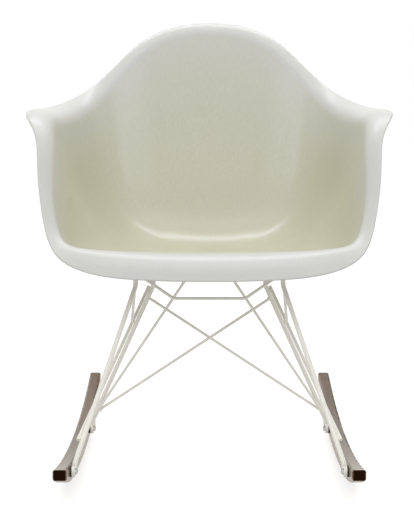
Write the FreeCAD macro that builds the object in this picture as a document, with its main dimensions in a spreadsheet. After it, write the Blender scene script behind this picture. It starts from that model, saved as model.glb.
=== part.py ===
"""Rocking armchair: a moulded plastic shell on a wire rod base with two bent wooden runners.

Millimetres, +Z up, the sitter faces -Y. The origin is on the floor, midway between the runners
and midway along them. Left is -X. Each pair of like pieces is built on the left and mirrored.
"""

import FreeCAD
import Part
import Sketcher
import math
import os

V = FreeCAD.Vector

# Driving dimensions: alias, value, meaning
DIMENSIONS = (
    ("arm_half_width", 310.0, "half the width across the arm tips"),
    ("lip_front", -285.0, "Y of the seat's front edge"),
    ("back_rear", 263.0, "Y of the rearmost edge of the back"),
    ("lip_height", 340.0, "height of the front edge's underside"),
    ("arm_height", 595.0, "height of the arm tips"),
    ("back_height", 753.0, "height of the top of the back"),
    ("seat_height", 346.0, "height of the lowest point of the seat"),
    ("seat_middle", 30.0, "Y of the lowest point of the seat"),
    ("seat_flat_radius", 40.0, "radius of the level spot in the middle of the seat"),
    ("shell_thickness", 4.0, "wall of the moulded shell"),
    ("lip_flare", 56.0, "run of the waterfall lip at the front"),
    ("side_flare", 28.0, "run of the rolled edge in front of the arms"),
    ("arm_flare", 56.0, "run of the arm rests"),
    ("back_flare", 19.0, "run of the turned edge of the back"),
    ("runner_spacing", 458.0, "between the middles of the two runners"),
    ("runner_width", 22.0, "thickness of a runner, side to side"),
    ("runner_depth", 28.0, "height of a runner's section in the middle"),
    ("runner_tip_depth", 17.0, "height of a runner's end face"),
    ("runner_front", -346.0, "Y of the runners' front ends"),
    ("runner_rear", 346.0, "Y of the runners' rear ends"),
    ("runner_low", -8.0, "Y of the runners' lowest point"),
    ("runner_sweep", 100.0, "length over which each end thins"),
    ("rocking_radius", 1900.0, "radius of the rolling face of the runners"),
    ("runner_edge_radius", 4.0, "rounding of the runners' long edges"),
    ("leg_rod", 8.0, "diameter of the leg rods"),
    ("diagonal_rod", 6.0, "diameter of the diagonals"),
    ("brace_rod", 5.0, "diameter of the braces, stays and crossbars"),
    ("bend_radius", 14.0, "bend radius of the rods on their centre line"),
    ("weld_bite", 0.2, "depth to which welded rods sink together"),
    ("eye_radius", 9.0, "radius of the flattened eye at the foot of a leg"),
    ("eye_thickness", 5.0, "thickness of the flattened eye"),
    ("eye_offset", 0.4, "from the eye's runner side to the side of the leg rod"),
    ("front_foot_y", -292.0, "Y of the front bolts"),
    ("front_foot_z", 41.5, "height of the front bolts"),
    ("rear_foot_y", 60.0, "Y of the rear bolts"),
    ("rear_foot_z", 20.3, "height of the rear bolts"),
    ("front_leg_bend_z", 54.0, "height where a front leg leaves the upright"),
    ("rear_leg_bend_z", 37.0, "height where a rear leg leaves the upright"),
    ("front_stub_x", 120.6, "X of the upright end on top of a front leg"),
    ("front_stub_y", -150.5, "Y of the upright end on top of a front leg"),
    ("front_stub_length", 22.8, "length of the upright end on top of a front leg"),
    ("rear_stub_x", 98.2, "X of the upright end on top of a rear leg"),
    ("rear_stub_y", 10.6, "Y of the upright end on top of a rear leg"),
    ("rear_stub_length", 44.0, "length of the upright end on top of a rear leg"),
    ("plate_length", 46.0, "front to back size of a mount plate"),
    ("plate_width", 28.0, "side to side size of a mount plate"),
    ("plate_thickness", 3.0, "thickness of a mount plate"),
    ("plate_corner", 7.0, "corner radius of a mount plate"),
    ("plate_hole", 7.0, "diameter of the hole in a mount plate"),
    ("stub_inset", 5.0, "from a mount plate's end to the middle of the leg's end"),
    ("pad_diameter", 38.0, "diameter of a rubber shock mount"),
    ("pad_height", 10.0, "height of a rubber shock mount in the middle"),
    ("insert_diameter", 14.0, "diameter of the steel insert in a shock mount"),
    ("insert_height", 8.0, "height of the steel insert"),
    ("seat_screw", 6.0, "thread diameter of the seat screws"),
    ("seat_screw_grip", 9.5, "length of a seat screw above its washer"),
    ("seat_head", 10.5, "diameter of a seat screw's head"),
    ("seat_head_height", 4.0, "height of a seat screw's head"),
    ("seat_washer", 13.0, "diameter of a seat screw's washer"),
    ("seat_washer_thickness", 1.2, "thickness of a seat screw's washer"),
    ("socket_key", 4.0, "width across the flats of the hexagon sockets"),
    ("runner_bolt", 6.0, "thread diameter of the runner bolts"),
    ("runner_bolt_grip", 19.5, "length of a runner bolt below its head"),
    ("runner_head", 10.5, "diameter of a runner bolt's head"),
    ("runner_head_height", 4.0, "height of a runner bolt's head"),
    ("runner_washer", 18.0, "diameter of the dark washer on a runner"),
    ("runner_washer_thickness", 3.0, "thickness of the dark washer"),
    ("runner_nut", 8.0, "diameter of the threaded insert in a runner"),
    ("runner_nut_length", 14.0, "length of the threaded insert in a runner"),
    ("thread_clearance", 0.05, "radial play of a bolt in its thread"),
    ("hole_clearance", 0.2, "radial play of a bolt in a plain hole"),
    ("front_bar_half", 58.5, "half the level stretch of the front crossbar"),
    ("front_bar_drop", 43.8, "from the leg's top down to the level stretch of the front crossbar"),
    ("front_bar_rise", 42.9, "rise of the front crossbar's ends over its level stretch"),
    ("rear_bar_half", 50.0, "half the level stretch of the rear crossbar"),
    ("rear_bar_drop", 34.0, "from the leg's top down to the level stretch of the rear crossbar"),
    ("rear_bar_rise", 18.0, "rise of the rear crossbar's ends over its level stretch"),
    ("front_bar_overhang", 1.0, "how far the front crossbar runs past the middle of the leg"),
    ("rear_bar_overhang", 4.0, "how far the rear crossbar runs past the middle of the leg"),
    ("short_brace_x", 124.5, "X of the upright end on top of a short brace"),
    ("stay_bar_x", 42.7, "X where the rear stay meets the rear crossbar"),
)

# The shell's rim, from the middle of the front lip round the left arm to the middle of the back.
# Each row: the flare that it belongs to, X as a share of the arm tips' half width, Y as a share of
# the way from the lip to the back, height (0 is the lip, 1 the arm tips, 2 the top of the back),
# run of the flare as a share of its size, rise of the flare over its run, and the slope in degrees
# of the wall where the flare starts and of the flare at the rim.
RIM = (
    ("lip_flare", 0.000, 0.000, 0.000, 1.00, -0.685, 2.0, -72.0),
    ("lip_flare", 0.324, 0.004, 0.008, 0.98, -0.675, 3.0, -70.0),
    ("lip_flare", 0.566, 0.016, 0.037, 0.92, -0.62, 9.0, -62.0),
    ("lip_flare", 0.731, 0.058, 0.100, 0.74, -0.43, 28.0, -45.0),
    ("side_flare", 0.809, 0.106, 0.189, 1.14, -0.06, 50.0, -25.0),
    ("side_flare", 0.864, 0.173, 0.400, 0.96, 0.44, 66.0, -10.0),
    ("side_flare", 0.896, 0.237, 0.643, 1.00, 0.64, 72.0, -8.0),
    ("side_flare", 0.922, 0.303, 0.858, 1.21, 0.59, 74.0, -12.0),
    ("arm_flare", 0.981, 0.374, 0.968, 0.86, 0.46, 76.0, -18.0),
    ("arm_flare", 1.000, 0.474, 1.000, 1.00, 0.46, 78.0, -20.0),
    ("arm_flare", 0.961, 0.630, 1.012, 0.89, 0.60, 80.0, -10.0),
    ("arm_flare", 0.848, 0.788, 1.078, 0.68, 0.84, 80.0, 5.0),
    ("back_flare", 0.713, 0.885, 1.236, 1.47, 1.07, 78.0, 15.0),
    ("back_flare", 0.571, 0.932, 1.488, 1.16, 1.27, 76.0, 22.0),
    ("back_flare", 0.423, 0.971, 1.762, 1.05, 1.30, 75.0, 26.0),
    ("back_flare", 0.233, 0.993, 1.944, 1.00, 1.32, 74.0, 28.0),
    ("back_flare", 0.000, 1.000, 2.000, 1.00, 1.32, 74.0, 28.0),
)
RIM_SPACING_POWER = 0.75
# Share of a meridian's run that stays nearly level
SEAT_FULLNESS_SHARE = 0.64
# How far a meridian follows the wall below the flare, as shares of its run and of its rise
HOLD_RUN_SHARE = 0.30
HOLD_RISE_SHARE = 0.42
# How far the flare follows its end slopes, as a share of its length
FLARE_HOLD_SHARE = 0.42
RING_POINTS = 56
BOWL_RINGS = 8
FLARE_RINGS = 6
SPLINE_SWEEPS = 60
NORMAL_STEP = 0.001
TOLERANCE = 1e-6

# Weld places as shares of the way up the sloping part of the rod that carries them
DIAGONAL_LOW_SHARE = 0.135
DIAGONAL_HIGH_SHARE = 0.964
SHORT_BRACE_SHARE = 0.75
STAY_LOW_SHARE = 0.045
CROSS_LOW_SHARE = 0.060
CROSS_HIGH_SHARE = 0.911

# The leg's rod starts this share of the eye's radius above the bolt
EYE_OVERLAP_SHARE = 0.6
# Rounding of the button heads as a share of their height
BUTTON_ROUNDING_SHARE = 0.7

doc = FreeCAD.newDocument("rocking_armchair")
sheet = doc.addObject("Spreadsheet::Sheet", "Sizes")
for row, (alias, value, meaning) in enumerate(DIMENSIONS, start=1):
    sheet.set(f"A{row}", alias)
    sheet.set(f"B{row}", str(value))
    sheet.set(f"C{row}", meaning)
    sheet.setAlias(f"B{row}", alias)
doc.recompute()
size = {alias: float(sheet.get(alias)) for alias, _, _ in DIMENSIONS}
nodes = {}


def node(feature, name):
    """Marks a feature as one sub-part, under the name of its file."""
    feature.Label = name
    nodes[name] = feature
    return feature


def bind(feature, **formulas):
    """Binds properties to expressions in which a bare word is a cell of the sheet."""
    for prop, formula in formulas.items():
        words = [w if w not in size else f"Sizes.{w}" for w in formula.split()]
        feature.setExpression(prop, " ".join(words))
    return feature


def frame_at(point, axis):
    """A placement at point with its Z along axis."""
    return FreeCAD.Placement(point, FreeCAD.Rotation(V(0, 0, 1), axis))


def cylinder(name, radius, height, place):
    feature = doc.addObject("Part::Cylinder", name)
    feature.Placement = place
    return bind(feature, Radius=radius, Height=height)


def cut(name, base, tool):
    feature = doc.addObject("Part::Cut", name)
    feature.Base = base
    feature.Tool = tool
    return feature


def fuse(name, pieces):
    feature = doc.addObject("Part::MultiFuse", name)
    feature.Shapes = pieces
    return feature


def group(name, pieces):
    feature = doc.addObject("Part::Compound", name)
    feature.Links = pieces
    return feature


def mirrored(source, name):
    """The right-hand copy of a left-hand piece."""
    feature = doc.addObject("Part::Mirroring", name)
    feature.Source = source
    feature.Normal = V(1, 0, 0)
    feature.Base = V(0, 0, 0)
    return feature


def both_sides(name, pieces):
    """One node that holds the left pieces and their mirror images."""
    left = group(f"{name}_left", pieces)
    return node(group(name, [left, mirrored(left, f"{name}_right")]), name)


# The shell is a surface worked out from its rim


def closed_spline(values, spans):
    """Second derivatives of the smooth closed cubic through values, found by repeated sweeps."""
    count = len(values)
    bend = [0.0] * count
    for _ in range(SPLINE_SWEEPS):
        for i in range(count):
            before, after = spans[i - 1], spans[i]
            following = (i + 1) % count
            rise = (values[following] - values[i]) / after - (values[i] - values[i - 1]) / before
            sides = before * bend[i - 1] + after * bend[following]
            bend[i] = (6 * rise - sides) / (2 * (before + after))
    return bend


def rim_columns():
    """The rim rows in millimetres, all the way round: x, y, z, run, rise, wall slope, edge slope."""
    half = []
    for flare, across, along, up, share, steepness, wall, edge in RIM:
        x = -across * size["arm_half_width"]
        y = size["lip_front"] + along * (size["back_rear"] - size["lip_front"])
        if up <= 1:
            z = size["lip_height"] + up * (size["arm_height"] - size["lip_height"])
        else:
            z = size["arm_height"] + (up - 1) * (size["back_height"] - size["arm_height"])
        run = share * size[flare]
        half.append((x, y, z, run, steepness * run, math.radians(wall), math.radians(edge)))
    other = [(-x, *rest) for x, *rest in half[-2:0:-1]]
    return list(zip(*(half + other)))


columns = rim_columns()
rim_count = len(columns[0])
rim_points = [V(*point) for point in zip(*columns[:3])]
rim_spans = [
    (rim_points[(i + 1) % rim_count] - rim_points[i]).Length ** RIM_SPACING_POWER
    for i in range(rim_count)
]
rim_starts = [sum(rim_spans[:i]) for i in range(rim_count)]
rim_length = sum(rim_spans)
rim_bends = [closed_spline(column, rim_spans) for column in columns]


def rim_values(turn):
    """The rim's seven values at a turn of 0 to 1 round the shell."""
    place = (turn % 1.0) * rim_length
    i = max(k for k in range(rim_count) if rim_starts[k] <= place)
    j = (i + 1) % rim_count
    span = rim_spans[i]
    b = (place - rim_starts[i]) / span
    a = 1 - b
    curve_a, curve_b = (a**3 - a) * span**2 / 6, (b**3 - b) * span**2 / 6
    return [
        a * column[i] + b * column[j] + curve_a * bend[i] + curve_b * bend[j]
        for column, bend in zip(columns, rim_bends)
    ]


def bezier(share, poles):
    """A point of a cubic curve with four poles in a plane."""
    rest = 1 - share
    weights = (rest**3, 3 * rest**2 * share, 3 * rest * share**2, share**3)
    return [sum(w * pole[i] for w, pole in zip(weights, poles)) for i in (0, 1)]


def inside(turn, out):
    """A point of the seat side: out runs from 0 in the middle by 1 at the flare to 2 at the rim.

    Each meridian stands in an upright plane through the middle of the seat. It is one cubic curve
    from the level spot up to the flare, and a second one, tangent to it, from there to the rim.
    The first one's hold on the wall is shortened so that it never dips below the level spot.
    """
    x, y, z, run, rise, wall, edge = rim_values(turn)
    away = V(x, y - size["seat_middle"], 0)
    reach = away.Length
    away.normalize()
    flare_r, flare_z = reach - run, z - rise
    floor = size["seat_height"]
    start = size["seat_flat_radius"]
    if out <= 1:
        hold = HOLD_RUN_SHARE * flare_r + HOLD_RISE_SHARE * abs(flare_z - floor)
        drop = hold * math.sin(wall) / (flare_z - floor)
        hold /= (1 + drop**4) ** 0.25
        poles = (
            (start, floor),
            (start + SEAT_FULLNESS_SHARE * (flare_r - start), floor),
            (flare_r - hold * math.cos(wall), flare_z - hold * math.sin(wall)),
            (flare_r, flare_z),
        )
        r, height = bezier(out, poles)
    else:
        hold = FLARE_HOLD_SHARE * math.hypot(run, rise)
        poles = (
            (flare_r, flare_z),
            (flare_r + hold * math.cos(wall), flare_z + hold * math.sin(wall)),
            (reach - hold * math.cos(edge), z - hold * math.sin(edge)),
            (reach, z),
        )
        r, height = bezier(out - 1, poles)
    return V(0, size["seat_middle"], height) + away * r


def upward(turn, out):
    """The unit normal of the seat side, pointing into the sitter's space."""
    if out <= 0:
        return V(0, 0, 1)
    along = inside(turn, min(2, out + NORMAL_STEP)) - inside(turn, max(0, out - NORMAL_STEP))
    around = inside(turn + NORMAL_STEP, out) - inside(turn - NORMAL_STEP, out)
    normal = around.cross(along)
    normal.normalize()
    return normal


def under(turn, out):
    """A point of the underside."""
    return inside(turn, out) - upward(turn, out) * size["shell_thickness"]


def skin(rings, shares):
    """A smooth surface through closed rings of points: closed splines, joined by splines across."""
    turns = [k / RING_POINTS for k in range(RING_POINTS + 1)]
    ring_poles = []
    for ring in rings:
        around = Part.BSplineCurve()
        around.interpolate(Points=ring, PeriodicFlag=True, Parameters=turns)
        ring_poles.append(around.getPoles())
    net = []
    for column in zip(*ring_poles):
        across = Part.BSplineCurve()
        across.interpolate(Points=list(column), Parameters=shares)
        net.append(across.getPoles())
    surface = Part.BSplineSurface()
    surface.buildFromPolesMultsKnots(
        net,
        around.getMultiplicities(),
        across.getMultiplicities(),
        around.getKnots(),
        across.getKnots(),
        True,
        False,
        3,
        3,
    )
    return surface


def shell_solid():
    """The moulded shell: two smooth sides, the edge between them and the level spot's two discs."""
    outs = [k / BOWL_RINGS for k in range(BOWL_RINGS)]
    outs += [1 + k / FLARE_RINGS for k in range(FLARE_RINGS + 1)]
    turns = [k / RING_POINTS for k in range(RING_POINTS)]
    top = [[inside(turn, out) for turn in turns] for out in outs]
    bottom = [[under(turn, out) for turn in turns] for out in outs]
    steps = [0.0]
    for near, far in zip(top, top[1:]):
        steps.append(steps[-1] + sum((q - p).Length for p, q in zip(near, far)))
    shares = [step / steps[-1] for step in steps]
    sides = [skin(top, shares), skin(bottom, shares)]
    rims = [side.vIso(1.0).toShape() for side in sides]
    spots = [Part.Face(Part.Wire([side.vIso(0.0).toShape()])) for side in sides]
    faces = [side.toShape() for side in sides] + Part.makeRuledSurface(*rims).Faces + spots
    skin_faces = Part.Compound(faces)
    skin_faces.sewShape()
    solid = Part.Solid(skin_faces.Shells[0])
    if solid.Volume < 0:
        solid.reverse()
    return solid


shell = node(doc.addObject("Part::Feature", "shell"), "shell")
shell.Shape = shell_solid()


def seat_above(x, y):
    """The point of the underside above (x, y), and the outward normal of the underside there."""
    aim = math.atan2(y - size["seat_middle"], x) % (2 * math.pi)

    def bearing(turn):
        values = rim_values(turn)
        return math.atan2(values[1] - size["seat_middle"], values[0]) % (2 * math.pi)

    # Bearings fall from 270 degrees at the lip by 180 at the left arm to 90 at the back
    low, high = 0.0, 0.5
    while high - low > TOLERANCE:
        middle = (low + high) / 2
        if bearing(middle) > aim:
            low = middle
        else:
            high = middle
    turn = (low + high) / 2
    wanted = math.hypot(x, y - size["seat_middle"])
    low, high = 0.0, 1.0
    while high - low > TOLERANCE:
        middle = (low + high) / 2
        point = under(turn, middle)
        if math.hypot(point.x, point.y - size["seat_middle"]) < wanted:
            low = middle
        else:
            high = middle
    out = (low + high) / 2
    return under(turn, out), -upward(turn, out)


# Runners: a bent wooden section, thinned from below towards both ends


def arc_height(radius, y):
    """Height above its lowest point of an upward arc of this radius, at Y."""
    return radius - math.sqrt(radius**2 - (y - size["runner_low"]) ** 2)


def runner_outline():
    """The runner's side view as a closed wire in the YZ plane: two long arcs, thinned at the ends."""
    low_y, depth = size["runner_low"], size["runner_depth"]
    rolling = size["rocking_radius"]
    upper = rolling - depth

    def top(y):
        return V(0, y, depth + arc_height(upper, y))

    def bottom(y):
        return V(0, y, arc_height(rolling, y))

    front, rear = size["runner_front"], size["runner_rear"]
    down = V(0, 0, -size["runner_tip_depth"])
    tips = [top(front), top(front) + down, top(rear) + down, top(rear)]
    thin_front = bottom(front + size["runner_sweep"])
    thin_rear = bottom(rear - size["runner_sweep"])

    def sweep(tip, start):
        """The arc from the tip to the rolling face that runs on smoothly from it."""
        rolling_way = V(0, start.y - low_y, start.z - rolling).cross(V(1, 0, 0))
        rolling_way.normalize()
        half = (tip - start) * 0.5
        if rolling_way * half < 0:
            rolling_way = -rolling_way
        half_turn = rolling_way.getAngle(half)
        across = rolling_way * half.Length - half * math.cos(half_turn)
        across.normalize()
        return Part.Arc(tip, start + half + across * (half.Length * math.tan(half_turn / 2)), start)

    edges = [
        Part.Arc(tips[0], top(low_y), tips[3]),
        Part.LineSegment(tips[3], tips[2]),
        sweep(tips[2], thin_rear),
        Part.Arc(thin_rear, bottom(low_y), thin_front),
        sweep(tips[1], thin_front),
        Part.LineSegment(tips[1], tips[0]),
    ]
    return Part.Wire([edge.toShape() for edge in edges])


def bolt_places():
    """The two bolts of the left runner: their points on its inner face, and their direction."""
    inner = -size["runner_spacing"] / 2 + size["runner_width"] / 2
    return {
        end: frame_at(V(inner, size[f"{end}_foot_y"], size[f"{end}_foot_z"]), V(1, 0, 0))
        for end in ("front", "rear")
    }


def shifted(place, offset):
    """A placement moved along its own Z."""
    return place * FreeCAD.Placement(V(0, 0, offset), FreeCAD.Rotation())


outline = doc.addObject("Part::Feature", "runner_outline")
outline.Shape = runner_outline()
outline.Placement = FreeCAD.Placement(V(-size["runner_spacing"] / 2, 0, 0), FreeCAD.Rotation())
bent_wood = doc.addObject("Part::Extrusion", "runner_blank")
bent_wood.Base = outline
bent_wood.DirMode = "Custom"
bent_wood.Dir = V(1, 0, 0)
bent_wood.Solid = True
bent_wood.Symmetric = True
bind(bent_wood, LengthFwd="runner_width")
doc.recompute()

rounded = doc.addObject("Part::Fillet", "runner_rounded")
rounded.Base = bent_wood
rounded.Edges = [
    (index, size["runner_edge_radius"], size["runner_edge_radius"])
    for index, edge in enumerate(bent_wood.Shape.Edges, start=1)
    if edge.BoundBox.XLength < TOLERANCE
]
bores = []
nuts = []
for end, place in bolt_places().items():
    deep = shifted(place, -size["runner_nut_length"])
    bores.append(cylinder(f"{end}_bore", "runner_nut / 2", "runner_nut_length", deep))
    blank = cylinder(f"{end}_nut_blank", "runner_nut / 2", "runner_nut_length", deep)
    thread = cylinder(
        f"{end}_nut_thread", "runner_bolt / 2 + thread_clearance", "runner_nut_length", deep
    )
    nuts.append(cut(f"{end}_nut", blank, thread))
runner_left = node(cut("runner_left", rounded, fuse("runner_bores", bores)), "runner_left")
node(mirrored(runner_left, "runner_right"), "runner_right")
both_sides("threaded_inserts", nuts)


# Rods: a circle carried along straight runs joined by tangent arcs


def rod_path(points, radius):
    """A wire through points whose corners are rounded to the radius."""
    edges = []
    start = points[0]
    for before, corner, after in zip(points, points[1:], points[2:]):
        back, on = before - corner, after - corner
        turn = math.pi - back.getAngle(on)
        trim = radius * math.tan(turn / 2)
        back.normalize()
        on.normalize()
        inward = back + on
        inward.normalize()
        first, last = corner + back * trim, corner + on * trim
        bulge = corner + inward * (radius / math.cos(turn / 2) - radius)
        edges += [Part.LineSegment(start, first), Part.Arc(first, bulge, last)]
        start = last
    edges.append(Part.LineSegment(start, points[-1]))
    return Part.Wire([edge.toShape() for edge in edges])


def rod(name, diameter, points):
    """A round rod of the sheet's diameter along points."""
    path = doc.addObject("Part::Feature", f"{name}_path")
    path.Shape = rod_path(points, size["bend_radius"])
    section = doc.addObject("Part::Circle", f"{name}_section")
    section.Placement = frame_at(points[0], points[1] - points[0])
    bind(section, Radius=f"{diameter} / 2")
    sweep = doc.addObject("Part::Sweep", f"{name}_rod")
    sweep.Sections = [section]
    sweep.Spine = (path, [f"Edge{i + 1}" for i in range(len(path.Shape.Edges))])
    sweep.Solid = True
    sweep.Frenet = False
    return sweep


def part_way(start, end, share):
    """The point at a share of the way from start to end."""
    return start + (end - start) * share


def mount_point(stub_x, stub_y):
    """The middle of a mount, behind the upright end of its leg."""
    return stub_x, stub_y - size["stub_inset"] + size["plate_length"] / 2


MOUNTS = {
    "front": mount_point(-size["front_stub_x"], size["front_stub_y"]),
    "rear": mount_point(-size["rear_stub_x"], size["rear_stub_y"]),
}
seats = {name: frame_at(*seat_above(*place)) for name, place in MOUNTS.items()}


def level_turn(place):
    """The same placement, turned about its own Z so that its X lies front to back."""
    axis = place.Rotation.multVec(V(0, 0, 1))
    along = V(0, 1, 0) - axis * axis.y
    along.normalize()
    side = axis.cross(along)
    return FreeCAD.Placement(place.Base, FreeCAD.Rotation(along, side, axis, "ZXY"))


def mount_plate(end, place):
    """A flat plate with rounded corners and a hole in its middle, its underside away from the seat."""
    body = doc.addObject("PartDesign::Body", f"{end}_plate")
    flat = [f for f in body.Origin.OriginFeatures if f.Role == "XY_Plane"][0]
    outline = body.newObject("Sketcher::SketchObject", f"{end}_plate_outline")
    outline.AttachmentSupport = [(flat, "")]
    outline.MapMode = "FlatFace"
    length, width = size["plate_length"] / 2, size["plate_width"] / 2
    corners = [V(-length, -width), V(length, -width), V(length, width), V(-length, width)]
    for a, b in zip(corners, corners[1:] + corners[:1]):
        outline.addGeometry(Part.LineSegment(a, b), False)
    for i in range(4):
        outline.addConstraint(Sketcher.Constraint("Coincident", i, 2, (i + 1) % 4, 1))
    for line, way in enumerate(("Horizontal", "Vertical", "Horizontal", "Vertical")):
        outline.addConstraint(Sketcher.Constraint(way, line))
    outline.addConstraint(Sketcher.Constraint("Symmetric", 0, 1, 1, 2, -1, 1))
    along = outline.addConstraint(Sketcher.Constraint("DistanceX", 0, 1, 0, 2, 2 * length))
    across = outline.addConstraint(Sketcher.Constraint("DistanceY", 1, 1, 1, 2, 2 * width))
    outline.setExpression(f"Constraints[{along}]", "Sizes.plate_length")
    outline.setExpression(f"Constraints[{across}]", "Sizes.plate_width")
    pad = body.newObject("PartDesign::Pad", f"{end}_plate_pad")
    pad.Profile = outline
    bind(pad, Length="plate_thickness")
    doc.recompute()
    corner = body.newObject("PartDesign::Fillet", f"{end}_plate_corners")
    upright = [
        f"Edge{i}"
        for i, edge in enumerate(pad.Shape.Edges, start=1)
        if max(edge.BoundBox.XLength, edge.BoundBox.YLength) < TOLERANCE
    ]
    corner.Base = (pad, upright)
    bind(corner, Radius="plate_corner")
    doc.recompute()
    round_hole = body.newObject("Sketcher::SketchObject", f"{end}_plate_hole")
    round_hole.AttachmentSupport = [(flat, "")]
    round_hole.MapMode = "FlatFace"
    round_hole.addGeometry(Part.Circle(V(0, 0, 0), V(0, 0, 1), size["plate_hole"] / 2), False)
    round_hole.addConstraint(Sketcher.Constraint("Coincident", 0, 3, -1, 1))
    wide = round_hole.addConstraint(Sketcher.Constraint("Diameter", 0, size["plate_hole"]))
    round_hole.setExpression(f"Constraints[{wide}]", "Sizes.plate_hole")
    pocket = body.newObject("PartDesign::Pocket", f"{end}_plate_through")
    pocket.Profile = round_hole
    pocket.Type = "ThroughAll"
    pocket.Midplane = True
    body.Placement = place
    return body


def hexagon_socket(name, place, depth):
    """The tool for a hexagon socket."""
    socket = doc.addObject("Part::Prism", name)
    socket.Polygon = 6
    socket.Placement = place
    return bind(socket, Circumradius="socket_key / sqrt(3)", Height=depth)


plates = {}
trims = {}
pads = []
inserts = []
screws = []
washers = []
for end, seat in seats.items():
    seat = level_turn(seat)
    sunk = shifted(seat, -size["shell_thickness"] / 2)
    inner_end = shifted(seat, size["pad_height"] - size["insert_height"])
    raw = cylinder(
        f"{end}_pad_blank", "pad_diameter / 2", "pad_height + shell_thickness / 2", sunk
    )
    hole = cylinder(f"{end}_pad_hole", "insert_diameter / 2", "insert_height", inner_end)
    pads.append(cut(f"{end}_pad", cut(f"{end}_pad_seated", raw, shell), hole))
    blank = cylinder(f"{end}_insert_blank", "insert_diameter / 2", "insert_height", inner_end)
    thread = cylinder(
        f"{end}_insert_thread", "seat_screw / 2 + thread_clearance", "insert_height", inner_end
    )
    inserts.append(cut(f"{end}_insert", blank, thread))
    plates[end] = mount_plate(end, shifted(seat, size["pad_height"]))

    below = shifted(seat, size["pad_height"] + size["plate_thickness"])
    above = shifted(below, -size["plate_length"])
    trims[end] = cylinder(f"{end}_trim", "plate_length", "plate_length", above)
    washer = cylinder(
        f"{end}_washer_blank", "seat_washer / 2", "seat_washer_thickness", below
    )
    washer_hole = cylinder(
        f"{end}_washer_hole", "seat_screw / 2 + hole_clearance", "seat_washer_thickness", below
    )
    washers.append(cut(f"{end}_washer", washer, washer_hole))
    head_place = shifted(below, size["seat_washer_thickness"])
    shank_place = shifted(head_place, -size["seat_screw_grip"])
    socket_place = shifted(head_place, size["seat_head_height"] / 2)
    head = cylinder(f"{end}_screw_head", "seat_head / 2", "seat_head_height", head_place)
    shank = cylinder(f"{end}_screw_shank", "seat_screw / 2", "seat_screw_grip", shank_place)
    socket = hexagon_socket(f"{end}_screw_socket", socket_place, "seat_head_height")
    screws.append(cut(f"{end}_screw", fuse(f"{end}_screw_blank", [head, shank]), socket))

both_sides("shock_mounts", pads)
both_sides("mount_inserts", inserts)
both_sides("mount_plates", list(plates.values()))
both_sides("seat_washers", washers)
both_sides("seat_screws", screws)


def both_of(name, tool):
    """A left-hand tool together with its mirror image."""
    return group(name, [tool, mirrored(tool, f"{name}_right")])


# The foot of a leg is a flattened eye under the bolt, nearly flush with the rod
inner_face = -size["runner_spacing"] / 2 + size["runner_width"] / 2
leg_x = inner_face + size["runner_washer_thickness"] + size["eye_offset"] + size["leg_rod"] / 2


def stub_top(end, x, y):
    """Where an upright rod end meets the underside of its mount plate."""
    seat = seats[end]
    axis = seat.Rotation.multVec(V(0, 0, 1))
    middle = seat.Base + axis * (size["pad_height"] + size["plate_thickness"])
    height = middle.z - (axis.x * (x - middle.x) + axis.y * (y - middle.y)) / axis.z
    return V(x, y, height)


def leg(end):
    """A leg with its eye: upright at the foot, sloping up, and upright again under its plate.

    Returns the piece, the lower and upper corner of its centre line, and its top.
    """
    foot_y, foot_z = size[f"{end}_foot_y"], size[f"{end}_foot_z"]
    stub = stub_top(end, -size[f"{end}_stub_x"], size[f"{end}_stub_y"])
    start = V(leg_x, foot_y, foot_z + size["eye_radius"] * EYE_OVERLAP_SHARE)
    low = V(leg_x, foot_y, size[f"{end}_leg_bend_z"])
    high = stub - V(0, 0, size[f"{end}_stub_length"])
    stem = rod(f"leg_{end}", "leg_rod", [start, low, high, stub + V(0, 0, size["leg_rod"])])
    seated = cut(f"leg_{end}_seated", stem, trims[end])
    place = frame_at(V(inner_face + size["runner_washer_thickness"], foot_y, foot_z), V(1, 0, 0))
    disc = cylinder(f"leg_{end}_eye", "eye_radius", "eye_thickness", place)
    hole = cylinder(f"leg_{end}_hole", "runner_bolt / 2 + hole_clearance", "eye_thickness", place)
    blank = fuse(f"leg_{end}_blank", [seated, disc])
    piece = node(cut(f"leg_{end}_left", blank, hole), f"leg_{end}_left")
    node(mirrored(piece, f"leg_{end}_right"), f"leg_{end}_right")
    return piece, low, high, stub


front_leg, front_low, front_high, front_top = leg("front")
rear_leg, rear_low, rear_high, rear_top = leg("rear")


def beside(point, first, second, distance):
    """A point moved away from the middle, square to two directions."""
    away = first.cross(second)
    away.normalize()
    if away.x > 0:
        away = -away
    return point + away * distance


# The diagonal lies against the outer side of both legs
touch = (size["leg_rod"] + size["diagonal_rod"]) / 2 - size["weld_bite"]
diagonal_low = part_way(front_low, front_high, DIAGONAL_LOW_SHARE)
diagonal_high = part_way(rear_low, rear_high, DIAGONAL_HIGH_SHARE)
slant = diagonal_high - diagonal_low
diagonal_low = beside(diagonal_low, front_high - front_low, slant, touch)
diagonal_high = beside(diagonal_high, rear_high - rear_low, slant, touch)
slant = diagonal_high - diagonal_low
slant.normalize()
diagonal_ends = [
    diagonal_low - slant * size["diagonal_rod"],
    diagonal_high + slant * size["diagonal_rod"],
]
diagonal = node(rod("diagonal", "diagonal_rod", diagonal_ends), "diagonal_left")
node(mirrored(diagonal, "diagonal_right"), "diagonal_right")

# The short brace hangs from the rear end of the front mount plate and stands on the diagonal
brace_y = MOUNTS["front"][1] + size["plate_length"] / 2 - size["stub_inset"]
brace_top = stub_top("front", -size["short_brace_x"], brace_y)
brace_knee = brace_top - V(0, 0, 2 * size["bend_radius"])
brace_foot = part_way(diagonal_low, diagonal_high, SHORT_BRACE_SHARE)
brace_end = brace_top + V(0, 0, size["brace_rod"])
short_brace = rod("short_brace", "brace_rod", [brace_foot, brace_knee, brace_end])
trimmed = cut("short_brace_seated", cut("short_brace_on_plate", short_brace, trims["front"]), diagonal)
brace = node(trimmed, "short_brace_left")
node(mirrored(brace, "short_brace_right"), "short_brace_right")

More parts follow.
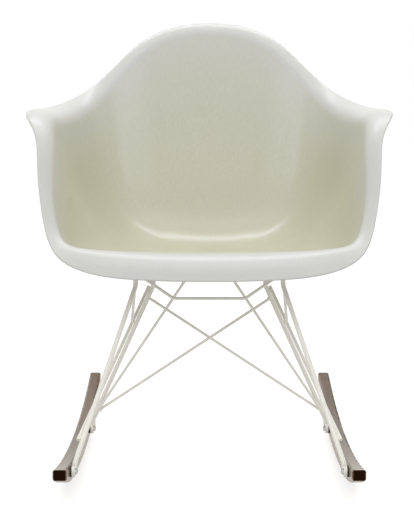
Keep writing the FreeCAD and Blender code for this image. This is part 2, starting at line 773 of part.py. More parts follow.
# Both crossbars are level in the middle and rise to the legs' upright ends
bar_touch = (size["leg_rod"] + size["brace_rod"]) / 2 - size["weld_bite"]


def crossbar(end, top):
    """A crossbar welded to the front of the legs' upright ends, and the middle of its left bend."""
    y = top.y - bar_touch
    half, rise = size[f"{end}_bar_half"], size[f"{end}_bar_rise"]
    low = top.z - size[f"{end}_bar_drop"]
    end_x = -top.x + size[f"{end}_bar_overhang"]
    end_z = low + rise * (end_x - half) / (-top.x - half)
    points = [V(-end_x, y, end_z), V(-half, y, low), V(half, y, low), V(end_x, y, end_z)]
    return rod(f"{end}_crossbar", "brace_rod", points), points[1]


front_bar, _ = crossbar("front", front_top)
node(cut("front_bar_seated", front_bar, both_of("front_trims", trims["front"])), "front_crossbar")
rear_bar, rear_bend = crossbar("rear", rear_top)
node(rear_bar, "rear_crossbar")

# The rear stay runs from the front of the rear leg's foot to the front of the rear crossbar
stay_low = part_way(rear_low, rear_high, STAY_LOW_SHARE)
stay_y = rear_bend.y - size["brace_rod"] + size["weld_bite"]
stay_high = V(-size["stay_bar_x"], stay_y, rear_bend.z)
forward = (stay_high - stay_low).cross(rear_high - rear_low)
forward.normalize()
stay_low += forward * (bar_touch if forward.y < 0 else -bar_touch)
stay_way = stay_high - stay_low
stay_way.normalize()
stay_over = stay_way * (size["brace_rod"] / 2)
stay_rod = rod("rear_stay", "brace_rod", [stay_low - stay_over, stay_high + stay_over])
stay = node(stay_rod, "rear_stay_left")
node(mirrored(stay, "rear_stay_right"), "rear_stay_right")

# Two crossing braces between the rear legs, one behind the other by a rod's width
cross_high = part_way(rear_low, rear_high, CROSS_HIGH_SHARE)
cross_low = part_way(rear_low, rear_high, CROSS_LOW_SHARE)
second_place = size["brace_rod"] - size["weld_bite"]
for name, side, behind in (("cross_brace_front", -1, 0.0), ("cross_brace_rear", 1, second_place)):
    start = V(side * cross_high.x, cross_high.y + behind, cross_high.z)
    end = V(-side * cross_low.x, cross_low.y + behind, cross_low.z)
    on_left = cut(f"{name}_on_left", rod(name, "brace_rod", [start, end]), rear_leg)
    node(cut(f"{name}_seated", on_left, nodes["leg_rear_right"]), name)

# Runner bolts: a dark washer, the eye of the leg and a button head with a hexagon socket
bolts = []
rings = []
for end, place in bolt_places().items():
    ring = cylinder(f"{end}_ring_blank", "runner_washer / 2", "runner_washer_thickness", place)
    ring_hole = cylinder(
        f"{end}_ring_hole", "runner_bolt / 2 + hole_clearance", "runner_washer_thickness", place
    )
    rings.append(cut(f"{end}_ring", ring, ring_hole))
    head_place = shifted(place, size["runner_washer_thickness"] + size["eye_thickness"])
    shank_place = shifted(head_place, -size["runner_bolt_grip"])
    socket_place = shifted(head_place, size["runner_head_height"] / 2)
    head = cylinder(f"{end}_bolt_head", "runner_head / 2", "runner_head_height", head_place)
    shank = cylinder(f"{end}_bolt_shank", "runner_bolt / 2", "runner_bolt_grip", shank_place)
    blank = fuse(f"{end}_bolt_blank", [head, shank])
    doc.recompute()
    button = doc.addObject("Part::Fillet", f"{end}_bolt_button")
    button.Base = blank
    top_x = head_place.Base.x + size["runner_head_height"]
    rounding = BUTTON_ROUNDING_SHARE * size["runner_head_height"]
    button.Edges = [
        (index, rounding, rounding)
        for index, edge in enumerate(blank.Shape.Edges, start=1)
        if edge.BoundBox.XMin > top_x - TOLERANCE - edge.Tolerance
    ]
    socket = hexagon_socket(f"{end}_bolt_socket", socket_place, "runner_head_height")
    bolts.append(cut(f"{end}_bolt", button, socket))
both_sides("runner_washers", rings)
both_sides("runner_bolts", bolts)

doc.recompute()
for feature in doc.Objects:
    if "Invalid" in feature.State or "Error" in feature.State:
        raise RuntimeError(f"{feature.Label} did not build: {feature.State}")
for name, feature in nodes.items():
    if feature.Shape.isNull() or not feature.Shape.isValid() or not feature.Shape.Solids:
        raise RuntimeError(f"{name} has no valid solid")

os.makedirs("parts", exist_ok=True)
for name, feature in nodes.items():
    feature.Shape.exportStep(f"parts/{name}.step")
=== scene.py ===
"""Looks of the rocking armchair: moulded shell, wire base, wooden runners, fixings and stage.

Metres, +Z up, the sitter faces -Y, and the origin is on the floor between the runners. The left
is -X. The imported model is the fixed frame, and every piece rides on its body "root".
"""

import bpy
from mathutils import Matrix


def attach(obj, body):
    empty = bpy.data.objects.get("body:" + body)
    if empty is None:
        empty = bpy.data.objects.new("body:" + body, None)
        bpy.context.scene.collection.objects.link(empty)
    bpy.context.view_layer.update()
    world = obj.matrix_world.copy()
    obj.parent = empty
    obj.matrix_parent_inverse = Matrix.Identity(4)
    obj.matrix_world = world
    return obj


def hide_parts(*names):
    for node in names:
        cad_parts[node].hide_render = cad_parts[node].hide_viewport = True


bl_info = {
    "name": "Rocking armchair looks",
    "version": (1, 0, 0),
    "blender": (4, 5, 0),
    "location": "View3D > Sidebar > Armchair",
    "description": "Builds the shell, finishes the frame's pieces and sets up the studio",
    "category": "Object",
}

import math

import bpy
import numpy as np
from bpy.props import (
    FloatProperty,
    FloatVectorProperty,
    IntProperty,
    PointerProperty,
    StringProperty,
)
from bpy.types import Operator, Panel, PropertyGroup
from mathutils import Vector

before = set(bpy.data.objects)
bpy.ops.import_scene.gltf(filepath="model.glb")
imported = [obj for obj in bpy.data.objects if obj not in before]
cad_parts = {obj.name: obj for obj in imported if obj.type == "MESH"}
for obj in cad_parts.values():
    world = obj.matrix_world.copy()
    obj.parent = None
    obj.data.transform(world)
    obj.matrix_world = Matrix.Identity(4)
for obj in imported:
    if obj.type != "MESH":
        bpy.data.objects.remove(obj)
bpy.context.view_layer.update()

BODY = "root"

RODS = (
    "leg_front_left",
    "leg_front_right",
    "leg_rear_left",
    "leg_rear_right",
    "diagonal_left",
    "diagonal_right",
    "short_brace_left",
    "short_brace_right",
    "rear_stay_left",
    "rear_stay_right",
    "cross_brace_front",
    "cross_brace_rear",
    "front_crossbar",
    "rear_crossbar",
    "mount_plates",
)
STEEL = ("seat_screws", "seat_washers", "mount_inserts", "threaded_inserts", "runner_bolts")

# Where rods are welded to each other or to a mount plate. Each row: X, Y, Z and the bead's radius
# over that of the smallest bead. Rows of the first table stand on both sides of the chair.
WELDS_BOTH_SIDES = (
    (-0.2022, -0.2723, 0.0901, 1.3),
    (-0.1058, 0.0125, 0.2822, 1.1),
    (-0.1299, -0.0595, 0.2364, 1.0),
    (-0.2034, 0.0530, 0.0528, 1.3),
    (-0.0433, 0.0020, 0.2992, 1.0),
    (-0.1206, -0.1544, 0.3325, 1.0),
    (-0.0982, 0.0067, 0.3177, 1.0),
    (-0.1206, -0.1505, 0.3340, 1.5),
    (-0.0982, 0.0106, 0.3315, 1.5),
)
WELDS_SINGLE = (
    (-0.1976, 0.0564, 0.0565, 1.2),
    (0.1048, 0.0152, 0.2654, 1.1),
    (-0.1085, 0.0192, 0.2655, 1.1),
    (0.2033, 0.0607, 0.0511, 1.2),
    (-0.0007, 0.0320, 0.1927, 1.0),
)

# The shell's rim, from the middle of the front lip round the left arm to the middle of the back.
# Each row: the flare that it belongs to, X as a share of the arm tips' half width, Y as a share of
# the way from the lip to the back, height (0 is the lip, 1 the arm tips, 2 the top of the back),
# run of the flare as a share of its size, rise of the flare over its run, and the slope in degrees
# of the wall where the flare starts and of the flare at the rim.
RIM = (
    ("lip_flare", 0.000, 0.000, 0.000, 1.00, -0.685, 2.0, -72.0),
    ("lip_flare", 0.324, 0.004, 0.008, 0.98, -0.675, 3.0, -70.0),
    ("lip_flare", 0.566, 0.016, 0.037, 0.92, -0.62, 9.0, -62.0),
    ("lip_flare", 0.731, 0.058, 0.100, 0.74, -0.43, 28.0, -45.0),
    ("side_flare", 0.809, 0.106, 0.189, 1.14, -0.06, 50.0, -25.0),
    ("side_flare", 0.864, 0.173, 0.400, 0.96, 0.44, 66.0, -10.0),
    ("side_flare", 0.896, 0.237, 0.643, 1.00, 0.64, 72.0, -8.0),
    ("side_flare", 0.922, 0.303, 0.858, 1.21, 0.59, 74.0, -12.0),
    ("arm_flare", 0.981, 0.374, 0.968, 0.86, 0.46, 76.0, -18.0),
    ("arm_flare", 1.000, 0.474, 1.000, 1.00, 0.46, 78.0, -20.0),
    ("arm_flare", 0.961, 0.630, 1.012, 0.89, 0.60, 80.0, -10.0),
    ("arm_flare", 0.848, 0.788, 1.078, 0.68, 0.84, 80.0, 5.0),
    ("back_flare", 0.713, 0.885, 1.236, 1.47, 1.07, 78.0, 15.0),
    ("back_flare", 0.571, 0.932, 1.488, 1.16, 1.27, 76.0, 22.0),
    ("back_flare", 0.423, 0.971, 1.762, 1.05, 1.30, 75.0, 26.0),
    ("back_flare", 0.233, 0.993, 1.944, 1.00, 1.32, 74.0, 28.0),
    ("back_flare", 0.000, 1.000, 2.000, 1.00, 1.32, 74.0, 28.0),
)
RIM_SPACING_POWER = 0.75
# How far a meridian follows the wall below the flare, as shares of its run and of its rise
HOLD_RUN_SHARE = 0.30
HOLD_RISE_SHARE = 0.42
# How far the flare follows its end slopes, as a share of its length
FLARE_HOLD_SHARE = 0.42
# Step for the normals, both in turns round the shell and on the way out
NORMAL_STEP = 1e-3
# Steps round the half-round rim
RIM_STEPS = 8

# Towards the rolled edge the colour is lighter: a painted highlight for the reflected surroundings.
# Two rows of height and how far out the painted highlight starts there, and how far out it is at
# its lightest.
PAINTED_HIGHLIGHT_LOW = (0.50, 0.74)
PAINTED_HIGHLIGHT_HIGH = (0.75, 0.60)
PAINTED_HIGHLIGHT_FULL = 1.2

# Glass fibres are about 0.02 mm thick. These are 2 mm wide and 29 mm long, so that they show.
FIBRES_PER_METRE = 480.0
FIBRE_STRETCH = 14
# Noise at which a fibre starts to show and at which it is bold
FIBRE_NOISE = (0.42, 0.72)
FIBRE_BUMP = {"Strength": 0.05, "Distance": 0.0004}
# Clouds where the resin is thicker, 110 mm wide
CLOUDS_PER_METRE = 9.0
CLOUD_STRETCH = 1.6
CLOUD_SHADE = 0.94

# Grain lines 4 mm wide and 85 mm long, with broader ones, 25 mm wide and 225 mm long
GRAIN_PER_METRE = 260.0
GRAIN_STRETCH = 22
BROAD_GRAIN_PER_METRE = 40.0
BROAD_GRAIN_STRETCH = 9
# Noise at which the grain is darkest and at which the wood is plain
GRAIN_NOISE = (0.36, 0.58)
GRAIN_BUMP = {"Strength": 0.15, "Distance": 0.0006}
# A face is sawn across the grain where its normal points along the runner by these shares
SAWN_FACING = (0.75, 0.95)

# Orange peel of sprayed and moulded finishes, 1 mm wide
PEEL_PER_METRE = 900.0
PEEL_DEPTH = 0.0003

# Softboxes: name, place, the point that they face, width and height, watts
SOFTBOXES = (
    ("rear_softbox", (0, 0.6, 2.1), (0, 0.1, 0.4), (1.7, 0.22), 11.5),
    ("overhead_softbox", (0, -0.65, 2.1), (0, -0.2, 0.4), (1.4, 0.3), 3.0),
    ("front_softbox", (0, -2.5, 1.3), (0, 0, 0.6), (1.9, 0.35), 8.0),
    ("side_softbox", (-0.8, -1.6, 1.55), (0, 0, 0.5), (0.5, 0.6), 3.5),
    ("side_softbox", (0.8, -1.6, 1.55), (0, 0, 0.5), (0.5, 0.6), 3.5),
)
# Shares by which a way points to the back or upwards where that light starts and where it is full
BACKDROP_RISE = (0.2, 0.7)
CEILING_RISE = (0.5, 0.9)
WHITE = (1, 1, 1, 1)
# Millimetres, and metres
SENSOR_WIDTH = 36.0
VIEW_END = 20.0

# A Mix node's sockets for colours share their names with those for numbers, so these are places.
MIX_FIRST, MIX_SECOND, MIX_RESULT = 6, 7, 2


def size_prop(name, default, description):
    """A size or place in metres."""
    return FloatProperty(
        name=name, description=description, default=default, unit="LENGTH", precision=4
    )


def colour_prop(name, default, description):
    """A colour, written as on the web."""
    return StringProperty(name=name, description=description + ", as a web colour", default=default)


def share_prop(name, default, description):
    """A strength or share, 0 for none."""
    return FloatProperty(
        name=name, description=description, default=default, min=0.0, subtype="FACTOR"
    )


class ARMCHAIR_PG_shell(PropertyGroup):
    """Sizes and colours of the moulded shell."""

    arm_half_width: size_prop("Arm half width", 0.310, "Half the width across the arm tips")
    lip_front: size_prop("Lip front", -0.285, "Y of the seat's front edge")
    back_rear: size_prop("Back rear", 0.263, "Y of the rearmost edge of the back")
    lip_height: size_prop("Lip height", 0.340, "Height of the front edge's underside")
    arm_height: size_prop("Arm height", 0.595, "Height of the arm tips")
    back_height: size_prop("Back height", 0.753, "Height of the top of the back")
    seat_height: size_prop("Seat height", 0.346, "Height of the lowest point of the seat")
    seat_middle: size_prop("Seat middle", 0.030, "Y of the lowest point of the seat")
    seat_flat_radius: size_prop("Level spot", 0.040, "Radius of the level spot in the seat")
    seat_fullness: share_prop("Seat fullness", 0.64, "Share of the run that stays nearly level")
    thickness: size_prop("Wall", 0.004, "Wall of the moulded shell")
    lip_flare: size_prop("Lip flare", 0.056, "Run of the waterfall lip at the front")
    side_flare: size_prop("Side flare", 0.028, "Run of the rolled edge in front of the arms")
    arm_flare: size_prop("Arm flare", 0.056, "Run of the arm rests")
    back_flare: size_prop("Back flare", 0.019, "Run of the turned edge of the back")
    around: IntProperty(name="Around", description="Points round the shell", default=288, min=48)
    across: IntProperty(
        name="Across", description="Rings from the level spot to the rim", default=64, min=16
    )
    colour: colour_prop("Colour", "#bfbfa6", "Base colour of the plastic")
    # Painted highlight: this lighter colour towards the rolled edge stands in for the white
    # surroundings reflected there.
    flare_highlight_colour: colour_prop(
        "Flare colour", "#c9c9c4", "Colour towards the rolled edge, where light passes through"
    )
    shine_colour: colour_prop("Shine colour", "#e2e4ff", "Tint of the plastic's reflections")
    fibre_colour: colour_prop("Fibre colour", "#dddccf", "Colour of the glass fibres")
    fibre_strength: share_prop("Fibres", 0.18, "How far the fibres show")
    roughness: share_prop("Roughness", 0.33, "Roughness of the plastic")
    specular: share_prop("Shine", 0.85, "Strength of the plastic's reflections")
    flare_specular: share_prop(
        "Flare shine", 0.45, "Strength of the reflections towards the rolled edge"
    )


class ARMCHAIR_PG_wood(PropertyGroup):
    """Colours of the stained wood."""

    colour: colour_prop("Stain", "#644c38", "Colour of the stained wood")
    grain_colour: colour_prop("Grain", "#443224", "Colour of the grain lines")
    end_colour: colour_prop("End grain", "#24130b", "Colour of the sawn ends")
    roughness: share_prop("Roughness", 0.25, "Roughness of the lacquer")
    shine_colour: colour_prop("Shine colour", "#fff0cc", "Tint of the lacquer's reflections")
    sheen: share_prop("Sheen", 0.35, "Strength of the pale sheen seen along the runner")
    lacquer: share_prop("Lacquer", 0.4, "Strength of the lacquer's reflections along the runner")


class ARMCHAIR_PG_base(PropertyGroup):
    """Colour and welds of the wire base."""

    colour: colour_prop("Paint", "#f2f0e6", "Colour of the powder coat")
    roughness: share_prop("Roughness", 0.34, "Roughness of the powder coat")
    texture: share_prop("Texture", 0.02, "Strength of the powder coat's orange peel")
    bead: size_prop("Bead", 0.0034, "Radius of the smallest weld bead")


class ARMCHAIR_PG_fixings(PropertyGroup):
    """Finishes of the small parts."""

    steel: colour_prop("Steel", "#b4b3ae", "Colour of the plated steel")
    steel_roughness: share_prop("Steel roughness", 0.3, "Roughness of the plated steel")
    rubber: colour_prop("Rubber", "#1d1c1b", "Colour of the shock mounts")
    rubber_roughness: share_prop("Rubber roughness", 0.6, "Roughness of the shock mounts")
    rubber_texture: share_prop("Rubber texture", 0.1, "Strength of the shock mounts' moulded skin")
    washer: colour_prop("Washers", "#2a2420", "Colour of the washers on the runners")
    washer_roughness: share_prop("Washer roughness", 0.55, "Roughness of the washers")


class ARMCHAIR_PG_stage(PropertyGroup):
    """Camera and lights of the photograph."""

    distance: size_prop("Distance", 2.445, "How far the camera stands in front of the origin")
    height: size_prop("Height", 0.6622, "Height of the camera")
    tilt: FloatProperty(
        name="Tilt", description="How far the camera looks down", default=0.128, subtype="ANGLE"
    )
    focal_pixels: FloatProperty(
        name="Focal length", description="Focal length in pixels of the photograph", default=1415.0
    )
    picture: FloatVectorProperty(
        name="Picture",
        description="Width and height of the photograph in pixels",
        default=(414.0, 507.0),
        size=2,
    )
    middle: FloatProperty(
        name="Middle", description="Pixel column of the chair's middle plane", default=209.4
    )
    floor: size_prop("Floor", 8.0, "Width of the floor")
    floor_paint: share_prop("Floor paint", 0.5, "Lightness of the floor's matt paint")
    floor_glow: share_prop("Floor glow", 0.68, "Glow that lifts the painted floor to white")
    world: share_prop("World", 0.60, "Strength of the even light from all round")
    backdrop: share_prop("Backdrop", 1.0, "Strength of the light from behind")
    ceiling: share_prop("Ceiling", 0.2, "Strength of the light from above, over that of the world")


def linear(web_colour):
    """The linear red, green, blue and alpha of a web colour such as #cbccb9, by the sRGB curve."""
    shares = np.array([int(web_colour[i : i + 2], 16) for i in (1, 3, 5)]) / 255
    low = shares / 12.92
    high = ((shares + 0.055) / 1.055) ** 2.4
    return (*np.where(shares <= 0.04045, low, high).tolist(), 1.0)


def fill(tree, node, values):
    """Gives a node its inputs: each is a value, or another node's output to link."""
    for key, value in values.items():
        if isinstance(value, bpy.types.NodeSocket):
            tree.links.new(value, node.inputs[key])
        else:
            node.inputs[key].default_value = value


def add(tree, kind, values=None, **settings):
    """Adds a node, sets its properties and then its inputs."""
    made = tree.nodes.new(kind)
    for key, value in settings.items():
        setattr(made, key, value)
    fill(tree, made, values or {})
    return made


def empty_tree(owner):
    """The node tree of a new material or world, with no nodes."""
    owner.use_nodes = True
    owner.node_tree.nodes.clear()
    return owner.node_tree


def material(name):
    """A new material: itself, its tree, and its Principled node joined to the output."""
    made = bpy.data.materials.new(name)
    tree = empty_tree(made)
    surface = add(tree, "ShaderNodeBsdfPrincipled")
    add(tree, "ShaderNodeOutputMaterial", {"Surface": surface.outputs["BSDF"]})
    return made, tree, surface


def stretched_noise(tree, scale, stretch, detail=4.0, roughness=0.5):
    """Noise in object coordinates, scale spots to the metre, longer by stretch along X, Y and Z."""
    place = add(tree, "ShaderNodeTexCoord").outputs["Object"]
    squeeze = {"Vector": place, "Scale": [1 / s for s in stretch]}
    squeezed = add(tree, "ShaderNodeMapping", squeeze).outputs["Vector"]
    values = {"Vector": squeezed, "Scale": scale, "Detail": detail, "Roughness": roughness}
    return add(tree, "ShaderNodeTexNoise", values).outputs["Fac"]


def finish_nodes(names, made):
    """Gives frame nodes one material."""
    for name in names:
        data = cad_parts[name].data
        data.materials.clear()
        data.materials.append(made)


def closed_spline_bends(values, spans):
    """Second derivatives M of the periodic cubic spline through rows of values.

    They solve h[i-1] M[i-1] + 2 (h[i-1] + h[i]) M[i] + h[i] M[i+1]
    = 6 ((v[i+1] - v[i]) / h[i] - (v[i] - v[i-1]) / h[i-1]), with the indices going round.
    """
    count = len(spans)
    here = np.arange(count)
    before = np.roll(spans, 1)
    matrix = np.zeros((count, count))
    matrix[here, here] = 2 * (before + spans)
    matrix[here, (here - 1) % count] += before
    matrix[here, (here + 1) % count] += spans
    steps = (np.roll(values, -1, 0) - values) / spans[:, None]
    return np.linalg.solve(matrix, 6 * (steps - np.roll(steps, 1, 0)))


def rim_table(sizes):
    """The rim all the way round, in metres: x, y, z, run, rise, wall slope and edge slope."""
    rows = []
    for flare, across, along, up, share, steepness, wall, edge in RIM:
        x = -across * sizes.arm_half_width
        y = sizes.lip_front + along * (sizes.back_rear - sizes.lip_front)
        if up <= 1:
            z = sizes.lip_height + up * (sizes.arm_height - sizes.lip_height)
        else:
            z = sizes.arm_height + (up - 1) * (sizes.back_height - sizes.arm_height)
        run = share * getattr(sizes, flare)
        rows.append((x, y, z, run, steepness * run, math.radians(wall), math.radians(edge)))
    half = np.array(rows)
    other = half[-2:0:-1] * np.array((-1, 1, 1, 1, 1, 1, 1))
    return np.concatenate([half, other])


def rim_values(table, turns):
    """The seven values of the rim at turns of 0 to 1 round the shell.

    The spline runs over the chord lengths between the rows, raised to RIM_SPACING_POWER. Between
    rows i and j it is a v_i + b v_j + ((a^3 - a) M_i + (b^3 - b) M_j) h^2 / 6, where b = 1 - a.
    """
    spans = np.linalg.norm(np.roll(table[:, :3], -1, 0) - table[:, :3], axis=1) ** RIM_SPACING_POWER
    bends = closed_spline_bends(table, spans)
    starts = np.concatenate([[0], np.cumsum(spans)])
    place = (turns % 1.0) * starts[-1]
    i = np.clip(np.searchsorted(starts, place, side="right") - 1, 0, len(spans) - 1)
    j = (i + 1) % len(spans)
    span = spans[i][..., None]
    b = (place - starts[i])[..., None] / span
    a = 1 - b
    curve = ((a**3 - a) * bends[i] + (b**3 - b) * bends[j]) * span**2 / 6
    return a * table[i] + b * table[j] + curve


def bezier(share, poles):
    """The cubic curve (1-s)^3 P0 + 3 (1-s)^2 s P1 + 3 (1-s) s^2 P2 + s^3 P3."""
    rest = 1 - share
    weights = (rest**3, 3 * rest**2 * share, 3 * rest * share**2, share**3)
    return sum(weight * pole for weight, pole in zip(weights, poles))


def seat_side(sizes, rim, outs):
    """Points of the seat side, rows by outs (0 in the middle, 1 at the flare, 2 at the rim).

    Each meridian stands in an upright plane through the middle of the seat, with r the distance
    from the middle. For s up to 1 it is the cubic with the poles (r0, z0), (r0 + f (r1 - r0), z0),
    (r1 - h cos w, z1 - h sin w) and (r1, z1). Here f is the fullness, w the wall's slope and
    h = (0.30 r1 + 0.42 |z1 - z0|) / (1 + q^4)^(1/4), with q the share of the height that the hold
    would use up, and 0.30 and 0.42 the two hold shares. From 1 to 2 it is the cubic of the flare,
    with a hold of FLARE_HOLD_SHARE of its length.
    """
    x, y, z, run, rise, wall, edge = np.moveaxis(rim, -1, 0)
    away = np.stack([x, y - sizes.seat_middle], -1)
    reach = np.linalg.norm(away, axis=-1)
    away = away / reach[..., None]
    flare_r, flare_z = reach - run, z - rise
    floor = np.full_like(z, sizes.seat_height)
    start = np.full_like(z, sizes.seat_flat_radius)
    hold = HOLD_RUN_SHARE * flare_r + HOLD_RISE_SHARE * np.abs(flare_z - floor)
    drop = hold * np.sin(wall) / (flare_z - floor)
    hold = hold / (1 + drop**4) ** 0.25
    bowl = np.clip(outs, 0, 1)
    full = start + sizes.seat_fullness * (flare_r - start)
    r_bowl = bezier(bowl, (start, full, flare_r - hold * np.cos(wall), flare_r))
    z_bowl = bezier(bowl, (floor, floor, flare_z - hold * np.sin(wall), flare_z))
    grip = FLARE_HOLD_SHARE * np.hypot(run, rise)
    lip = np.clip(outs - 1, 0, 1)
    r_poles = (flare_r, flare_r + grip * np.cos(wall), reach - grip * np.cos(edge), reach)
    r_lip = bezier(lip, r_poles)
    z_lip = bezier(lip, (flare_z, flare_z + grip * np.sin(wall), z - grip * np.sin(edge), z))
    r = np.where(outs <= 1, r_bowl, r_lip)
    height = np.where(outs <= 1, z_bowl, z_lip)
    return np.stack([away[..., 0] * r, sizes.seat_middle + away[..., 1] * r, height], -1)


def unit(vectors):
    """The vectors at length 1."""
    return vectors / np.linalg.norm(vectors, axis=-1, keepdims=True)


def shell_grid(sizes):
    """The shell's closed skin as rings of points, and how far out each point is.

    The rings go up the seat side, over a half-round rim and down the underside. The underside is
    the seat side moved along its normal, which is the product of the steps out and round.
    """
    table = rim_table(sizes)
    turns = np.arange(sizes.around) / sizes.around
    step = NORMAL_STEP

    def point(turn, out):
        return seat_side(sizes, rim_values(table, turn), out)

    def normal(turn, out):
        along = point(turn, np.minimum(out + step, 2)) - point(turn, np.maximum(out - step, 0))
        around = point(turn + step, out) - point(turn - step, out)
        return unit(np.cross(around, along))

    edge = np.full_like(turns, 2.0)
    edge_step = point(turns, edge) - point(turns, edge - step)
    edge_way = unit(edge_step)
    radius = sizes.thickness / 2
    last = 2 - radius * step / np.linalg.norm(edge_step, axis=-1)
    share = np.linspace(0, 1, sizes.across + 1)[:, None]
    outs = last[None, :] * share
    grid_turns = np.broadcast_to(turns, outs.shape)
    top = point(grid_turns, outs)
    normals = normal(grid_turns, outs)
    normals[0] = (0, 0, 1)
    bottom = top - normals * sizes.thickness
    middle = top[-1] - normals[-1] * radius
    bend = np.linspace(0, math.pi, RIM_STEPS + 1)[1:-1, None, None]
    rim = middle + radius * (np.cos(bend) * normals[-1] + np.sin(bend) * edge_way)
    rings = np.concatenate([top, rim, bottom[::-1]])
    depth = np.concatenate([outs, np.full(rim.shape[:2], 2.0), outs[::-1]])
    return rings, depth


def level_spot(ring, count=4):
    """The middle of a flat ring, and rings that grow from there to it in count steps."""
    middle = ring.mean(0)
    shares = np.linspace(0, 1, count + 1)[1:-1, None, None]
    return middle, middle + shares * (ring - middle)


def closed_tube_faces(rings, around):
    """Quads between neighbouring rings, each ring closed on itself."""
    i, j = np.meshgrid(np.arange(rings - 1), np.arange(around), indexing="ij")
    k = (j + 1) % around
    corners = (i * around + j, i * around + k, (i + 1) * around + k, (i + 1) * around + j)
    return np.stack(corners, -1).reshape(-1, 4)


def mesh_object(name, points, quads, triangles=()):
    """A smooth-shaded object from arrays of points, quads and triangles."""
    data = bpy.data.meshes.new(name)
    data.from_pydata(points.tolist(), [], quads.tolist() + [list(t) for t in triangles])
    data.polygons.foreach_set("use_smooth", np.ones(len(data.polygons), dtype=bool))
    data.update()
    made = bpy.data.objects.new(name, data)
    bpy.context.scene.collection.objects.link(made)
    return made


def build_shell(sizes):
    """The shell mesh, with the attribute out (0 in the seat, 2 at the rim) for its material."""
    rings, depth = shell_grid(sizes)
    around = rings.shape[1]
    top_middle, top_rings = level_spot(rings[0])
    low_middle, low_rings = level_spot(rings[-1])
    skin = np.concatenate([top_rings, rings, low_rings[::-1]])
    points = np.concatenate([skin.reshape(-1, 3), [top_middle, low_middle]])
    outs = np.zeros(len(points))
    start = len(top_rings) * around
    outs[start : start + depth.size] = depth.ravel()
    quads = closed_tube_faces(len(skin), around)
    first = np.arange(around)
    after = (first + 1) % around
    last = (len(skin) - 1) * around
    top_fan = np.stack([after, first, np.full(around, len(points) - 2)], -1)
    low_fan = np.stack([last + first, last + after, np.full(around, len(points) - 1)], -1)
    made = mesh_object("moulded_shell", points, quads, np.concatenate([top_fan, low_fan]).tolist())
    attribute = made.data.attributes.new("out", "FLOAT", "POINT")
    attribute.data.foreach_set("value", outs)
    return made


def build_beads(sizes, around=16, across=9):
    """Weld beads: a small ball at each joint, all in one mesh.

    From the joint, x = r sin b cos a, y = r sin b sin a and z = r cos b.
    """
    left = np.array(WELDS_BOTH_SIDES)
    right = left * (-1, 1, 1, 1)
    welds = np.concatenate([left, right, np.array(WELDS_SINGLE)])
    a = 2 * math.pi * np.arange(around) / around
    b = np.linspace(0, math.pi, across + 2)[1:-1, None]
    ring = np.stack([np.sin(b) * np.cos(a), np.sin(b) * np.sin(a), np.cos(b) * np.ones_like(a)], -1)
    ball = np.concatenate([ring.reshape(-1, 3), [(0, 0, 1), (0, 0, -1)]])
    points = welds[:, None, :3] + sizes.bead * welds[:, 3, None, None] * ball
    first = np.arange(around)
    after = (first + 1) % around
    top, low = across * around, across * around + 1
    last = (across - 1) * around
    quads = closed_tube_faces(across, around)[:, ::-1]
    top_fan = np.stack([first, after, np.full(around, top)], -1)
    low_fan = np.stack([last + after, last + first, np.full(around, low)], -1)
    starts = len(ball) * np.arange(len(welds))[:, None, None]
    all_quads = (quads + starts).reshape(-1, 4)
    fans = (np.concatenate([top_fan, low_fan]) + starts).reshape(-1, 3)
    return mesh_object("weld_beads", points.reshape(-1, 3), all_quads, fans.tolist())


def plastic(sizes):
    """Plastic reinforced with glass fibre, moulded with a satin skin.

    It shows fine upright fibres and soft clouds in an even greenish grey. Towards the rolled edge
    its colour is lighter, a painted highlight that reaches further down the wall higher up, and its
    shine weaker.
    """
    made, tree, surface = material("shell_plastic")
    fibres = stretched_noise(tree, FIBRES_PER_METRE, (1, 1, FIBRE_STRETCH), detail=2.0)
    clouds = stretched_noise(tree, CLOUDS_PER_METRE, (1, 1, CLOUD_STRETCH), detail=3.0)

    base = linear(sizes.colour)
    shade = (*(CLOUD_SHADE * c for c in base[:3]), 1)
    values = {0: clouds, MIX_FIRST: shade, MIX_SECOND: base}
    ground = add(tree, "ShaderNodeMix", values, data_type="RGBA").outputs[MIX_RESULT]

    # Painted highlight: a lighter colour towards the rolled edge, starting further in higher up the
    # back.
    place = add(tree, "ShaderNodeTexCoord").outputs["Object"]
    height = add(tree, "ShaderNodeSeparateXYZ", {"Vector": place}).outputs["Z"]
    values = {"Value": height, "From Min": PAINTED_HIGHLIGHT_LOW[0], "From Max": PAINTED_HIGHLIGHT_HIGH[0]}
    values |= {"To Min": PAINTED_HIGHLIGHT_LOW[1], "To Max": PAINTED_HIGHLIGHT_HIGH[1]}
    start = add(tree, "ShaderNodeMapRange", values).outputs["Result"]
    out = add(tree, "ShaderNodeAttribute", attribute_name="out").outputs["Fac"]
    values = {"Value": out, "From Min": start, "From Max": PAINTED_HIGHLIGHT_FULL}
    smooth = add(tree, "ShaderNodeMapRange", values, interpolation_type="SMOOTHSTEP")
    flared = smooth.outputs["Result"]
    values = {"Value": flared, "To Min": sizes.specular, "To Max": sizes.flare_specular}
    shine = add(tree, "ShaderNodeMapRange", values).outputs["Result"]
    values = {0: flared, MIX_FIRST: ground, MIX_SECOND: linear(sizes.flare_highlight_colour)}
    with_painted_highlight = add(tree, "ShaderNodeMix", values, data_type="RGBA").outputs[MIX_RESULT]

    faint, bold = FIBRE_NOISE
    values = {"Value": fibres, "From Min": faint, "From Max": bold}
    values |= {"To Max": sizes.fibre_strength}
    shown = add(tree, "ShaderNodeMapRange", values).outputs["Result"]
    values = {0: shown, MIX_FIRST: with_painted_highlight, MIX_SECOND: linear(sizes.fibre_colour)}
    colour = add(tree, "ShaderNodeMix", values, data_type="RGBA").outputs[MIX_RESULT]
    bump = add(tree, "ShaderNodeBump", {"Height": fibres, **FIBRE_BUMP})
    fill(
        tree,
        surface,
        {
            "Base Color": colour,
            "Roughness": sizes.roughness,
            "Specular IOR Level": shine,
            "Specular Tint": linear(sizes.shine_colour),
            "Normal": bump.outputs["Normal"],
        },
    )
    return made


